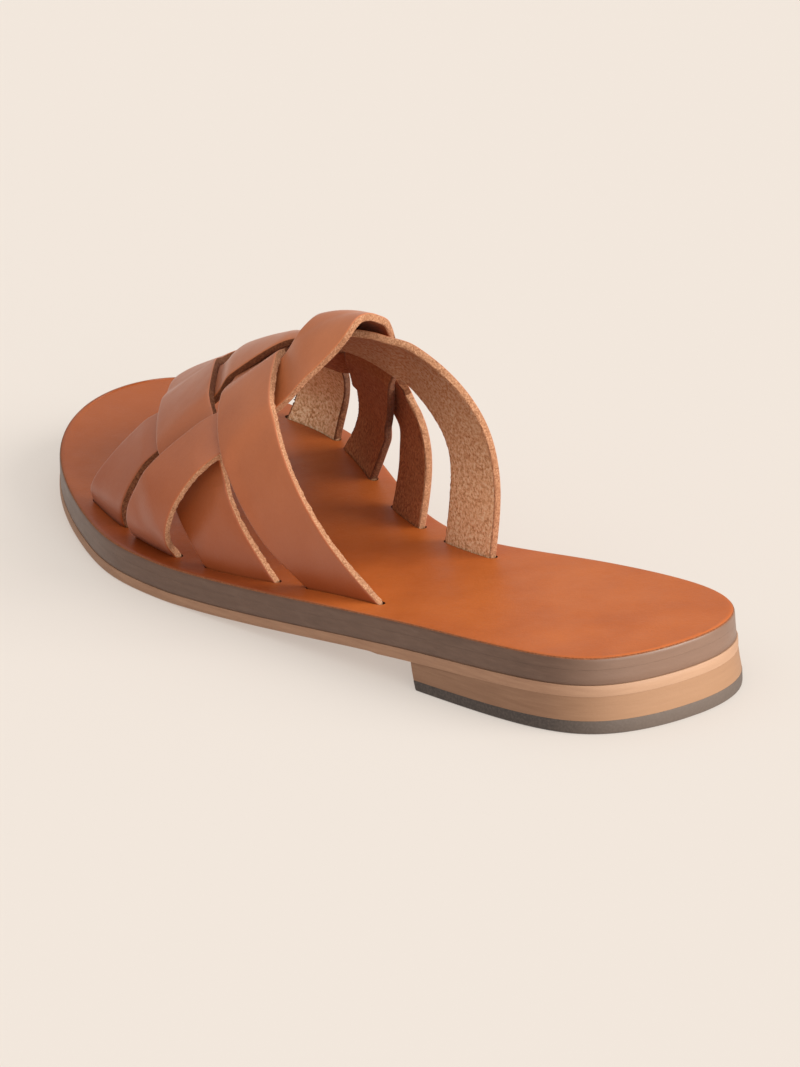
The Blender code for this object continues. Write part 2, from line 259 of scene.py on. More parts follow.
# Camera, in the same millimetres
CAMERA_PLACE = (-1247.4, -1458.4, 797.2)
CAMERA_AIM = (4.2, 115.8, 15.5)
CAMERA_ROLL = -1.5
CAMERA_LENS = 278.5
CAMERA_SENSOR = 36.0
CAMERA_REACH = 30.0

# Colours are written as they look on a screen, 0 to 255
# Painted shade: the footbed darkens towards the toe
TOE_PAINTED_SHADE = (126, 60, 24)
# Painted sheen: a pale reflection on strap faces seen at a low angle
PAINTED_SHEEN_TONE = (214, 176, 164)
# Painted shade on the upper part of the straps' flesh side
SUEDE_TOP_PAINTED_SHADE = (122, 60, 28)
# Painted shade low on the straps, near their roots in the footbed
ROOT_PAINTED_SHADE = (142, 58, 12)
# Painted shade on the footbed's outer margin beside the strap roots
MARGIN_PAINTED_SHADE = (122, 50, 14)

# Where painted shade and painted light grow: axis of the shoe, start, end
TOE_SHADE = ("Y", 110.0, 225.0)
MARGIN_ACROSS = ("X", -31.0, -42.0)
MARGIN_ALONG = ("Y", 80.0, 112.0)
ROOT_SHADE = ("Z", 64.0, 16.0)
SUEDE_SHADE = ("Z", 30.0, 72.0)
# Painted light: the back of the heel grows paler
HEEL_BACK_PAINTED_LIGHT = ("Y", 17.0, -1.0)

# How far it grows
MARGIN_SHADE_STRENGTH = 0.8
SUEDE_SHADE_STRENGTH = 0.88
HEEL_BACK_LIGHT_STRENGTH = 0.55
PAINTED_SHEEN_START = 0.5

# Places of the colour sockets on Blender's mix node
MIX_FACTOR, MIX_FIRST, MIX_SECOND, MIX_RESULT = 0, 6, 7, 2

# Studio: the floor glows a little, as over a light table
FLOOR_COLOUR = (241, 231, 221)
FLOOR_GLOW = 0.5
FLOOR_LIGHT = 1.27
FLOOR_REACH_M = 9.0

# A soft sky, dim at the horizon and bright overhead
SKY_COLOUR = (1.0, 0.985, 0.97, 1.0)
SKY_LOW = 0.14
SKY_HIGH = 1.15

# Lamps: name, way to the lamp, strength, spread in degrees
SUN_COLOUR = (1.0, 0.98, 0.95)
SUNS = (
    ("window", (0.55, -0.87, 0.46), 3.0, 45.0),
    ("screen", (-0.30, -0.95, 0.25), 1.2, 40.0),
)


# Splines through the tables
def natural_spline(knots, values):
    knots = np.asarray(knots, float)
    values = np.asarray(values, float)
    count = len(knots)
    gaps = np.diff(knots)
    system = np.eye(count)
    rhs = np.zeros(count)
    for i in range(1, count - 1):
        system[i, i - 1] = gaps[i - 1]
        system[i, i] = 2 * (gaps[i - 1] + gaps[i])
        system[i, i + 1] = gaps[i]
        rhs[i] = 6 * ((values[i + 1] - values[i]) / gaps[i] - (values[i] - values[i - 1]) / gaps[i - 1])
    bends = np.linalg.solve(system, rhs)

    def at(x):
        x = np.clip(np.asarray(x, float), knots[0], knots[-1])
        i = np.clip(np.searchsorted(knots, x) - 1, 0, count - 2)
        h = gaps[i]
        left = (knots[i + 1] - x) / h
        right = (x - knots[i]) / h
        curve = ((left**3 - left) * bends[i] + (right**3 - right) * bends[i + 1]) * h * h / 6
        return left * values[i] + right * values[i + 1] + curve

    return at


def closed_spline(points):
    points = np.asarray(points, float)
    count = len(points)
    system = np.zeros((count, count))
    rhs = np.zeros((count, 2))
    for i in range(count):
        before, after = (i - 1) % count, (i + 1) % count
        system[i, before], system[i, i], system[i, after] = 1.0, 4.0, 1.0
        rhs[i] = 6 * (points[after] - 2 * points[i] + points[before])
    bends = np.linalg.solve(system, rhs)

    def at(t):
        t = np.asarray(t, float) % count
        i = np.floor(t).astype(int) % count
        j = (i + 1) % count
        right = (t - np.floor(t))[..., None]
        left = 1 - right
        curve = ((left**3 - left) * bends[i] + (right**3 - right) * bends[j]) / 6
        return left * points[i] + right * points[j] + curve

    return at


def monotone_curve(knots, values):
    knots = np.asarray(knots, float)
    values = np.asarray(values, float)
    gaps = np.diff(knots)
    slopes = np.diff(values) / gaps
    tangents = np.zeros(len(knots))
    tangents[0], tangents[-1] = slopes[0], slopes[-1]
    for i in range(1, len(knots) - 1):
        if slopes[i - 1] * slopes[i] > 0:
            w0 = 2 * gaps[i] + gaps[i - 1]
            w1 = gaps[i] + 2 * gaps[i - 1]
            tangents[i] = (w0 + w1) / (w0 / slopes[i - 1] + w1 / slopes[i])

    def at(x):
        x = np.clip(np.asarray(x, float), knots[0], knots[-1])
        i = np.clip(np.searchsorted(knots, x) - 1, 0, len(knots) - 2)
        h = gaps[i]
        u = (x - knots[i]) / h
        start = (1 + 2 * u) * (1 - u) ** 2 * values[i] + u * (1 - u) ** 2 * h * tangents[i]
        end = u * u * (3 - 2 * u) * values[i + 1] + u * u * (u - 1) * h * tangents[i + 1]
        return start + end

    return at


def column(table, index):
    return [row[index] for row in table]


# Sole shape
sole_bottom = monotone_curve(column(SOLE_PROFILE, 0), column(SOLE_PROFILE, 1))
OUTLINE_CURVE = closed_spline([row[1:] for row in OUTLINE])
TOE_INDEX = column(OUTLINE, 0).index("toe tip")
NEAR_TOE = np.linspace(TOE_INDEX - 1, TOE_INDEX + 1, TOE_STEPS)
TOE_TURN = NEAR_TOE[OUTLINE_CURVE(NEAR_TOE)[:, 1].argmax()]
SOLE_LENGTH = OUTLINE_CURVE(TOE_TURN)[1]


def footbed(y):
    return sole_bottom(y) + SOLE_THICK


def side_of_outline(outer):
    last = TOE_TURN if outer else TOE_TURN - len(OUTLINE)
    t = np.linspace(0.0, last, OUTLINE_STEPS)
    points = OUTLINE_CURVE(t)
    ahead = OUTLINE_CURVE(t + TURN_STEP) - OUTLINE_CURVE(t - TURN_STEP)
    ahead /= np.linalg.norm(ahead, axis=1)[:, None]
    normals = np.stack([-ahead[:, 1], ahead[:, 0]], axis=1)
    stations = np.maximum.accumulate(points[:, 1])
    columns = (points[:, 0], points[:, 1], normals[:, 0], normals[:, 1])

    def at(y, outset):
        x, along, out_x, out_y = [np.interp(y, stations, values) for values in columns]
        return np.stack([x + outset * out_x, along + outset * out_y], axis=-1)

    return at


OUTER_SIDE = side_of_outline(True)
INNER_SIDE = side_of_outline(False)


def top_piece_top(y):
    share = np.clip(np.asarray(y, float) / BREAST_INNER_Y, 0.0, 1.0)
    return TOP_PIECE_BACK + (TOP_PIECE_BREAST - TOP_PIECE_BACK) * share


# The last that the straps lie on
slot_outer = natural_spline(column(SLOT_LINES, 0), column(SLOT_LINES, 1))
slot_inner = natural_spline(column(SLOT_LINES, 0), column(SLOT_LINES, 2))
last_height = natural_spline(column(LAST_HEIGHT, 0), column(LAST_HEIGHT, 1))
arch_across = natural_spline(column(LAST_ARCH, 0), column(LAST_ARCH, 1))
arch_up = natural_spline(column(LAST_ARCH, 0), column(LAST_ARCH, 2))


def last_point(share, y):
    outer, inner = slot_outer(y), slot_inner(y)
    x = (outer + inner) / 2 + (inner - outer) / 2 * arch_across(share)
    z = footbed(y) + last_height(y) * arch_up(share)
    return np.stack(np.broadcast_arrays(x, y, z), axis=-1)


def last_normal(share, y):
    low = np.clip(share - SHARE_STEP, 0.0, 1.0)
    high = np.clip(share + SHARE_STEP, 0.0, 1.0)
    around = last_point(high, y) - last_point(low, y)
    along = last_point(share, y + Y_STEP) - last_point(share, y - Y_STEP)
    normal = np.cross(around, along)
    return normal / np.linalg.norm(normal, axis=-1)[..., None]


def flat_normal(normal):
    flat = normal.copy()
    flat[:, 2] = 0.0
    return flat / np.linalg.norm(flat, axis=1)[:, None]


def strap_course(name):
    return natural_spline(COURSE_SHARES, COURSES[name])


def strap_width(name, share):
    return natural_spline(WIDTH_SHARES, STRAP_WIDTHS[name])(share)


def strap_half_width(name, share):
    course = strap_course(name)
    low = np.clip(share - SHARE_STEP, 0.0, 1.0)
    high = np.clip(share + SHARE_STEP, 0.0, 1.0)
    y = course(share)
    girth = np.linalg.norm(last_point(high, y) - last_point(low, y), axis=-1)
    slope = (course(high) - course(low)) / girth
    return strap_width(name, share) / 2 * np.sqrt(1 + slope**2)


def smooth_step(value):
    value = np.clip(value, 0.0, 1.0)
    return value * value * (3 - 2 * value)


# How far a strap stands off the last, higher over one strap and lower under another
def strap_offset(name, share, y):
    lift = np.zeros(np.shape(y))
    for upper, lower, start, end in CROSSINGS:
        if name not in (upper, lower):
            continue
        other = lower if name == upper else upper
        inside = strap_half_width(other, share) - np.abs(y - strap_course(other)(share))
        reach = smooth_step(1 + inside / WEAVE_RAMP) * ((share >= start) & (share <= end))
        lift = lift + (reach if name == upper else -reach)
    stand_off = natural_spline(STAND_SHARES, STAND_OFF[name])(share)
    return stand_off + STRAP_RAISE * np.clip(lift, -1.0, 1.0)


# Materials
class Paint:
    def __init__(self, name):
        self.material = bpy.data.materials.new(name)
        self.material.use_nodes = True
        self.tree = self.material.node_tree
        self.surface = self.tree.nodes["Principled BSDF"]
        self.place = self.tree.nodes.new("ShaderNodeTexCoord").outputs["Object"]

    def node(self, kind):
        return self.tree.nodes.new(kind)

    def link(self, output, socket):
        self.tree.links.new(output, socket)

    def set(self, **values):
        for name, value in values.items():
            self.surface.inputs[name.replace("_", " ")].default_value = value

    # Noise whose blobs are about this many millimetres long
    def noise(self, size, detail=2.0, rough=0.5, stretch=(1.0, 1.0, 1.0)):
        mapping = self.node("ShaderNodeMapping")
        mapping.inputs["Scale"].default_value = [1 / (MM * size * s) for s in stretch]
        self.link(self.place, mapping.inputs["Vector"])
        noise = self.node("ShaderNodeTexNoise")
        noise.inputs["Scale"].default_value = 1.0
        noise.inputs["Detail"].default_value = detail
        noise.inputs["Roughness"].default_value = rough
        self.link(mapping.outputs["Vector"], noise.inputs["Vector"])
        return noise.outputs["Fac"]

    # Round cells of about this many millimetres
    def cells(self, size):
        mapping = self.node("ShaderNodeMapping")
        mapping.inputs["Scale"].default_value = [1 / (MM * size)] * 3
        self.link(self.place, mapping.inputs["Vector"])
        cells = self.node("ShaderNodeTexVoronoi")
        cells.inputs["Scale"].default_value = 1.0
        self.link(mapping.outputs["Vector"], cells.inputs["Vector"])
        return cells.outputs["Distance"]

    def fit(self, value, low, high, to_low, to_high):
        fit = self.node("ShaderNodeMapRange")
        self.link(value, fit.inputs["Value"])
        for name, number in zip(("From Min", "From Max", "To Min", "To Max"), (low, high, to_low, to_high)):
            fit.inputs[name].default_value = number
        return fit.outputs["Result"]

    # Grows between two places along an axis of the shoe
    def along(self, axis, start, end, strength):
        split = self.node("ShaderNodeSeparateXYZ")
        self.link(self.place, split.inputs["Vector"])
        middle = MIDDLE["XYZ".index(axis)]
        return self.fit(split.outputs[axis], (start - middle) * MM, (end - middle) * MM, 0.0, strength)

    def product(self, first, second):
        times = self.node("ShaderNodeMath")
        times.operation = "MULTIPLY"
        self.link(first, times.inputs[0])
        self.link(second, times.inputs[1])
        return times.outputs["Value"]

    # Grows to its strength where the surface is seen at a low angle
    def grazing(self, start, strength):
        weight = self.node("ShaderNodeLayerWeight")
        weight.inputs["Blend"].default_value = 0.5
        growth = self.fit(weight.outputs["Facing"], start, 1.0, 0.0, strength)
        growth.node.interpolation_type = "SMOOTHSTEP"
        return growth

    def tones(self, value, stops):
        ramp = self.node("ShaderNodeValToRGB")
        self.link(value, ramp.inputs["Fac"])
        marks = ramp.color_ramp.elements
        while len(marks) < len(stops):
            marks.new(0.5)
        for mark, (place, colour) in zip(marks, stops):
            mark.position = place
            mark.color = (*linear(colour), 1.0)
        return ramp.outputs["Color"]

    def mix(self, factor, first, second, mode="MIX"):
        mix = self.node("ShaderNodeMix")
        mix.data_type = "RGBA"
        mix.blend_type = mode
        put(self, factor, mix.inputs[MIX_FACTOR])
        put(self, first, mix.inputs[MIX_FIRST])
        put(self, second, mix.inputs[MIX_SECOND])
        return mix.outputs[MIX_RESULT]

    # Painted light: a paler tone round the back of the heel
    def paint_light_on_heel_back(self, colour, back):
        return self.mix(self.along(*HEEL_BACK_PAINTED_LIGHT, HEEL_BACK_LIGHT_STRENGTH), colour, back)

    def colour_with(self, colour):
        self.link(colour, self.surface.inputs["Base Color"])

    def bump(self, heights):
        before = None
        for value, depth in heights:
            bump = self.node("ShaderNodeBump")
            bump.inputs["Strength"].default_value = 1.0
            bump.inputs["Distance"].default_value = depth * MM
            self.link(value, bump.inputs["Height"])
            if before is not None:
                self.link(before, bump.inputs["Normal"])
            before = bump.outputs["Normal"]
        self.link(before, self.surface.inputs["Normal"])


def put(paint, value, socket):
    if isinstance(value, bpy.types.NodeSocket):
        paint.link(value, socket)
    elif isinstance(value, tuple):
        socket.default_value = (*linear(value), 1.0)
    else:
        socket.default_value = value


def linear(colour):
    share = [c / 255 for c in colour]
    return [s / 12.92 if s <= 0.04045 else ((s + 0.055) / 1.055) ** 2.4 for s in share]


def grain_leather(name, dark, mid, light, gloss, shine, toe_shade, root_shade, painted_sheen):
    paint = Paint(name)
    blotch = paint.noise(24.0, 4.0, 0.55)
    colour = paint.tones(blotch, ((0.30, dark), (0.50, mid), (0.72, light)))
    fine = paint.noise(0.9, 4.0, 0.6)
    speck = paint.fit(fine, 0.35, 0.65, 0.0, 1.0)
    colour = paint.mix(0.14, colour, paint.tones(speck, ((0.0, dark), (1.0, light))))
    # Painted shade on the footbed: darker towards the toe and on the outer margin beside the strap roots
    if toe_shade:
        colour = paint.mix(paint.along(*TOE_SHADE, toe_shade), colour, TOE_PAINTED_SHADE)
        across = paint.along(*MARGIN_ACROSS, MARGIN_SHADE_STRENGTH)
        margin_shade = paint.product(across, paint.along(*MARGIN_ALONG, 1.0))
        colour = paint.mix(margin_shade, colour, MARGIN_PAINTED_SHADE)
    # Painted shade: the straps darken towards their roots
    if root_shade:
        colour = paint.mix(paint.along(*ROOT_SHADE, root_shade), colour, ROOT_PAINTED_SHADE)
    # Painted sheen: paler where the surface is seen at a low angle
    if painted_sheen:
        colour = paint.mix(paint.grazing(PAINTED_SHEEN_START, painted_sheen), colour, PAINTED_SHEEN_TONE)
    paint.colour_with(colour)
    wear = paint.noise(7.0, 3.0, 0.6)
    paint.link(paint.fit(wear, 0.3, 0.7, gloss - 0.05, gloss + 0.07), paint.surface.inputs["Roughness"])
    pores = paint.fit(paint.cells(0.55), 0.0, 0.6, 0.0, 1.0)
    paint.bump(((paint.noise(9.0, 3.0), 0.12), (fine, 0.045), (pores, 0.016)))
    paint.set(Coat_Weight=0.10 * shine, Coat_Roughness=0.30, Specular_IOR_Level=shine)
    return paint.material


def cut_edge(name, dark, mid, light):
    paint = Paint(name)
    fibre = paint.noise(0.45, 5.0, 0.7)
    colour = paint.tones(fibre, ((0.34, dark), (0.48, mid), (0.62, light)))
    patch = paint.noise(3.5, 3.0, 0.6)
    colour = paint.mix(paint.fit(patch, 0.45, 0.70, 0.0, 0.55), colour, mid)
    paint.colour_with(colour)
    paint.bump(((patch, 0.25), (fibre, 0.22)))
    paint.set(Roughness=0.92, Specular_IOR_Level=0.10, Sheen_Weight=0.05, Sheen_Roughness=0.5)
    return paint.material


def suede(name, dark, mid, light):
    paint = Paint(name)
    nap = paint.noise(0.85, 4.0, 0.66)
    colour = paint.tones(nap, ((0.36, dark), (0.50, mid), (0.62, light)))
    brushed = paint.noise(8.0, 3.0, 0.6)
    colour = paint.mix(paint.fit(brushed, 0.40, 0.68, 0.0, 0.40), colour, mid)
    # Painted shade: the flesh side darkens towards the top
    colour = paint.mix(paint.along(*SUEDE_SHADE, SUEDE_SHADE_STRENGTH), colour, SUEDE_TOP_PAINTED_SHADE)
    paint.colour_with(colour)
    paint.bump(((paint.noise(2.4, 3.0), 0.25), (nap, 0.24)))
    paint.set(Roughness=0.95, Specular_IOR_Level=0.05, Sheen_Weight=0.04, Sheen_Roughness=0.45)
    return paint.material


def dyed_edge(name, dark, mid, light, back):
    paint = Paint(name)
    streak = paint.noise(1.0, 4.0, 0.6, (7.0, 7.0, 1.2))
    colour = paint.tones(streak, ((0.20, dark), (0.50, mid), (0.85, light)))
    patch = paint.noise(14.0, 3.0)
    colour = paint.mix(paint.fit(patch, 0.40, 0.70, 0.0, 0.35), colour, light)
    # Painted light: paler round the back of the heel
    colour = paint.paint_light_on_heel_back(colour, back)
    paint.colour_with(colour)
    paint.link(paint.fit(patch, 0.3, 0.7, 0.34, 0.46), paint.surface.inputs["Roughness"])
    paint.bump(((streak, 0.06), (paint.noise(0.8, 3.0), 0.03)))
    return paint.material


def sole_leather(name, dark, mid, light, back, layer):
    paint = Paint(name)
    streak = paint.noise(1.0, 4.0, 0.6, (12.0, 12.0, layer))
    colour = paint.tones(streak, ((0.20, dark), (0.50, mid), (0.85, light)))
    speck = paint.noise(0.7, 4.0, 0.65)
    colour = paint.mix(paint.fit(speck, 0.50, 0.80, 0.0, 0.35), colour, dark)
    # Painted light: paler round the back of the heel
    colour = paint.paint_light_on_heel_back(colour, back)
    paint.colour_with(colour)
    paint.bump(((streak, 0.05), (speck, 0.04)))
    paint.set(Roughness=0.58, Specular_IOR_Level=0.4)
    return paint.material


def dark_rubber(name, dark, mid, light, back):
    paint = Paint(name)
    speck = paint.noise(0.6, 4.0, 0.6)
    colour = paint.tones(speck, ((0.35, dark), (0.5, mid), (0.68, light)))
    # Painted light: paler round the back of the heel
    colour = paint.paint_light_on_heel_back(colour, back)
    paint.colour_with(colour)
    paint.bump(((paint.noise(2.0, 3.0), 0.05), (speck, 0.04)))
    paint.set(Roughness=0.6, Specular_IOR_Level=0.4)
    return paint.material


# Meshes
def make_piece(name, vertices, faces, materials, zones, nodes):
    mesh = bpy.data.meshes.new(name)
    placed = (np.asarray(vertices, float) - MIDDLE) * MM
    mesh.from_pydata(placed.tolist(), [], faces)
    for material in materials:
        mesh.materials.append(material)
    mesh.polygons.foreach_set("material_index", np.asarray(zones, np.int32))
    face_out(mesh)
    piece = bpy.data.objects.new(name, mesh)
    bpy.context.scene.collection.objects.link(piece)
    if nodes:
        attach(piece, "root")
        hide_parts(*nodes)
    return piece


def face_out(mesh):
    shape = bmesh.new()
    shape.from_mesh(mesh)
    bmesh.ops.recalc_face_normals(shape, faces=shape.faces)
    shape.to_mesh(mesh)
    shape.free()
    mesh.polygons.foreach_set("use_smooth", np.ones(len(mesh.polygons), bool))


def crease_sharp(piece, degrees):
    piece.data.set_sharp_from_angle(angle=math.radians(degrees))


def face_of(corners):
    return tuple(dict.fromkeys(corners))


def outset_at(outset, y):
    return outset(y) if callable(outset) else np.full(len(y), outset)


# 1 at the heel, 0 from the waist on
def heel_share(y):
    return smooth_step((LEAN_END_Y - y) / LEAN_RUN)


def heel_flare(y):
    return HEEL_FLARE * (0.5 + 0.5 * heel_share(y)) + HEEL_LEAN * heel_share(y)


# 1 ahead of the heel, where the sole's lower edge shows
def open_edge(y):
    return smooth_step((y - OPEN_EDGE_START_Y) / OPEN_EDGE_RUN)


# Outset rules for the edge of a layer, by the place along the shoe
def leaning(outset, share=1.0, trim=0.0):
    return lambda y: outset + share * HEEL_LEAN * heel_share(y) - trim * open_edge(y)


def flared(outset, share=1.0):
    return lambda y: outset + share * heel_flare(y)


# Height rules for the edge of a layer
def below_footbed(depth):
    return lambda y: footbed(y) - depth


def above_sole(rise):
    return lambda y: sole_bottom(y) + rise


def above_top_piece(rise):
    return lambda y: top_piece_top(y) + rise


def above_floor(rise):
    return lambda y: rise


# A layer between two sides: levels go from the underside to the top, each an outset and a height rule
def layer_mesh(levels, outer_y, inner_y, lanes, open_front):
    count = len(outer_y)
    vertices, rings = [], []
    for outset, height in levels:
        outer = OUTER_SIDE(outer_y, outset_at(outset, outer_y))
        inner = INNER_SIDE(inner_y, outset_at(outset, inner_y))
        ring_start = len(vertices)
        inner_ids = [ring_start]
        for i in range(count):
            vertices.append((*outer[i], float(height(outer_y[i]))))
        stop = count if open_front else count - 1
        for i in range(1, stop):
            inner_ids.append(len(vertices))
            vertices.append((*inner[i], float(height(inner_y[i]))))
        outer_ids = list(range(ring_start, ring_start + count))
        if not open_front:
            inner_ids.append(outer_ids[-1])
        rings.append((outer_ids, inner_ids))
    faces, tags = [], []
    for level in range(len(levels) - 1):
        low = rings[level][0] + rings[level][1][:0:-1]
        high = rings[level + 1][0] + rings[level + 1][1][:0:-1]
        low, high = list(dict.fromkeys(low)), list(dict.fromkeys(high))
        for i in range(len(low)):
            j = (i + 1) % len(low)
            faces.append((low[j], low[i], high[i], high[j]))
            tags.append(level)
    for level, height, tag in ((0, levels[0][1], -1), (-1, levels[-1][1], len(levels))):
        add_cap(vertices, faces, tags, rings[level], lanes, height, tag)
    return vertices, faces, tags


# Rungs of fine faces close a layer above and below
def add_cap(vertices, faces, tags, ring, lanes, height, tag):
    rows = []
    for left, right in zip(*ring):
        row = [left]
        if left != right:
            start, end = np.array(vertices[left]), np.array(vertices[right])
            for k in range(1, lanes):
                point = start + (end - start) * k / lanes
                row.append(len(vertices))
                vertices.append((point[0], point[1], float(height(point[1]))))
        else:
            row += [left] * (lanes - 1)
        rows.append(row + [right])
    for near, far in zip(rows, rows[1:]):
        for k in range(lanes):
            face = face_of((near[k], far[k], far[k + 1], near[k + 1]))
            if len(face) > 2:
                faces.append(face)
                tags.append(tag)


def sole_stations():
    steps = np.arange(SOLE_STATIONS + 1) / SOLE_STATIONS
    return SOLE_LENGTH * (1 - np.cos(math.pi * steps)) / 2


def heel_stations(front):
    steps = np.arange(HEEL_STATIONS + 1) / HEEL_STATIONS
    share = HEEL_ROUND_SHARE * (1 - np.cos(math.pi / 2 * steps)) + (1 - HEEL_ROUND_SHARE) * steps**2
    return front * share


# Slots in the footbed, each with a small round end past the strap's edge
def slot_outline(name, share):
    half = strap_half_width(name, np.full(1, share))[0]
    reach = half + SLOT_END
    side = STRAP_THICK / 2 + SLOT_CLEARANCE
    offsets = -reach * np.cos(np.linspace(0.0, math.pi, SLOT_STEPS))
    y = strap_course(name)(share) + offsets
    shares = np.full(SLOT_STEPS, share)
    middle = last_point(shares, y)
    normal = flat_normal(last_normal(shares, y))
    past = np.clip((np.abs(offsets) - half + SLOT_ROUND) / (SLOT_END + SLOT_ROUND), 0.0, 1.0)
    wide = np.maximum(side * np.sqrt(1 - past**2), SLOT_LEAST)
    return np.concatenate([middle + normal * wide[:, None], (middle - normal * wide[:, None])[::-1]])


def slot_cutter(material_index, materials):
    vertices, faces = [], []
    for name in COURSES:
        for share in (0.0, 1.0):
            loop = slot_outline(name, share)
            count = len(loop)
            start = len(vertices)
            for rise in (-INSOLE_THICK - SLOT_CUT_BELOW, SLOT_CUT_ABOVE):
                vertices.extend(loop + np.array((0.0, 0.0, rise)))
            faces.append(tuple(range(start, start + count)))
            faces.append(tuple(range(start + 2 * count - 1, start + count - 1, -1)))
            for i in range(count):
                j = (i + 1) % count
                faces.append((start + i, start + count + i, start + count + j, start + j))
    zones = [material_index] * len(faces)
    return make_piece("slot_cutter", vertices, faces, materials, zones, None)


def cut_slots(piece, cutter):
    modifier = piece.modifiers.new("slots", "BOOLEAN")
    modifier.operation = "DIFFERENCE"
    modifier.solver = "EXACT"
    modifier.material_mode = "INDEX"
    modifier.object = cutter
    graph = bpy.context.evaluated_depsgraph_get()
    mesh = bpy.data.meshes.new_from_object(piece.evaluated_get(graph))
    piece.modifiers.clear()
    piece.data = mesh
    bpy.data.objects.remove(cutter, do_unlink=True)


# Pieces of the sole
def build_insole(grain, light_line, dye, raw):
    y = sole_stations()
    levels = [(leaning(0.0, 0.2), below_footbed(INSOLE_THICK))]
    levels += [(outset, below_footbed(depth)) for outset, depth in RIM_PROFILE]
    vertices, faces, tags = layer_mesh(levels, y, y, SOLE_LANES, False)
    zones = [BED_ZONES.get(tag, BED_GRAIN) for tag in tags]
    materials = (grain, light_line, dye, raw)
    piece = make_piece("insole_footbed", vertices, faces, materials, zones, ("insole",))
    cut_slots(piece, slot_cutter(BED_RAW, materials))
    crease_sharp(piece, INSOLE_CREASE)
    return piece


def build_midsole(dye):
    y = sole_stations()
    top = INSOLE_THICK + GLUE_LINE
    bottom = INSOLE_THICK + LAYER_GAP + MIDSOLE_THICK + LAYER_GAP - GLUE_LINE
    levels = (
        (leaning(-0.15, 0.7), below_footbed(bottom)),
        (leaning(0.0, 0.7), below_footbed(bottom - 0.2)),
        (leaning(0.02, 0.42), below_footbed(bottom - 2.0)),
        (leaning(0.0, 0.2), below_footbed(top)),
    )
    vertices, faces, tags = layer_mesh(levels, y, y, MIDSOLE_LANES, False)
    zones = [0] * len(tags)
    piece = make_piece("midsole_edge", vertices, faces, (dye,), zones, ("midsole",))
    crease_sharp(piece, SOLE_CREASE)
    return piece


def build_outsole(tan, under):
    y = sole_stations()
    levels = (
        (leaning(0.26, trim=0.8), above_sole(0.0)),
        (leaning(0.27, trim=0.27), above_sole(0.22)),
        (leaning(0.27), above_sole(0.62)),
        (leaning(0.28), above_sole(1.4)),
        (leaning(0.22), above_sole(OUTSOLE_THICK - 0.25)),
        (leaning(0.05), above_sole(OUTSOLE_THICK)),
    )
    vertices, faces, tags = layer_mesh(levels, y, y, OUTSOLE_LANES, False)
    zones = [1 if tag == -1 else 0 for tag in tags]
    piece = make_piece("outsole_edge", vertices, faces, (tan, under), zones, ("outsole",))
    crease_sharp(piece, SOLE_CREASE)
    return piece


def build_heel_stack(stacked):
    levels = (
        (heel_flare, above_top_piece(GLUE_LINE)),
        (heel_flare, above_top_piece(0.15)),
        (flared(0.25, 0.55), lambda y: (top_piece_top(y) + sole_bottom(y)) / 2),
        (leaning(0.28), above_sole(-0.2)),
        (leaning(0.26), above_sole(-GLUE_LINE)),
    )
    return heel_piece("heel_stack_leather", levels, stacked, "heel_stack")


def build_heel_top_piece(rubber):
    levels = (
        (flared(-0.3), above_floor(0.0)),
        (flared(0.05), above_floor(0.22)),
        (flared(0.15), above_floor(0.7)),
        (flared(0.1), above_top_piece(-0.2)),
        (flared(0.02), above_top_piece(0.0)),
    )
    return heel_piece("heel_top_rubber", levels, rubber, "heel_top_piece")


def heel_piece(name, levels, material, node):
    outer_y = heel_stations(BREAST_OUTER_Y)
    inner_y = heel_stations(BREAST_INNER_Y)
    vertices, faces, tags = layer_mesh(levels, outer_y, inner_y, HEEL_LANES, True)
    slant_front(vertices)
    piece = make_piece(name, vertices, faces, (material,), [0] * len(tags), (node,))
    crease_sharp(piece, HEEL_CREASE)
    return piece


# The heel's front leans back towards the floor
def slant_front(vertices):
    for i, (x, y, z) in enumerate(vertices):
        share = np.clip((x - BREAST_LINE_X) / BREAST_LINE_WIDTH, 0.0, 1.0)
        front = BREAST_OUTER_Y + (BREAST_INNER_Y - BREAST_OUTER_Y) * share
        near = np.clip(1 - (front - y) / BREAST_FADE, 0.0, 1.0)
        vertices[i] = (x, y + near * BREAST_SLANT * z, z)


# Section of a strap, round from the grain side: share of the half width, millimetres off the middle, zone
def strap_section(width):
    half = width / 2
    thick = STRAP_THICK / 2
    flat = np.linspace(-1 + EDGE_ROUND / half, 1 - EDGE_ROUND / half, STRAP_LANES + 1)
    section = [(a, thick, GRAIN) for a in flat]
    section += [(1 - inset / half, thick - drop, zone) for inset, drop, zone in EDGE_PROFILE]
    section += [(a, -thick, FLESH) for a in flat[::-1]]
    section += [(-1 + inset / half, thick - drop, zone) for inset, drop, zone in EDGE_PROFILE[::-1]]
    return section


# Zone of the face between two neighbours of the section
def section_zones(section):
    marks = column(section, 2)
    pairs = zip(marks, marks[1:] + marks[:1])
    return [CUT if CUT in pair else max(pair) for pair in pairs]


def strap_wave(share, across, phases):
    slow = np.sin(SLOW_WAVE[0] * share + SLOW_WAVE[1] * across + phases[0])
    quick = np.sin(QUICK_WAVE[0] * share + QUICK_WAVE[1] * across + phases[1])
    calm = smooth_step(share / STRAP_CALM) * smooth_step((1 - share) / STRAP_CALM)
    return STRAP_WAVE * (slow + quick) * calm


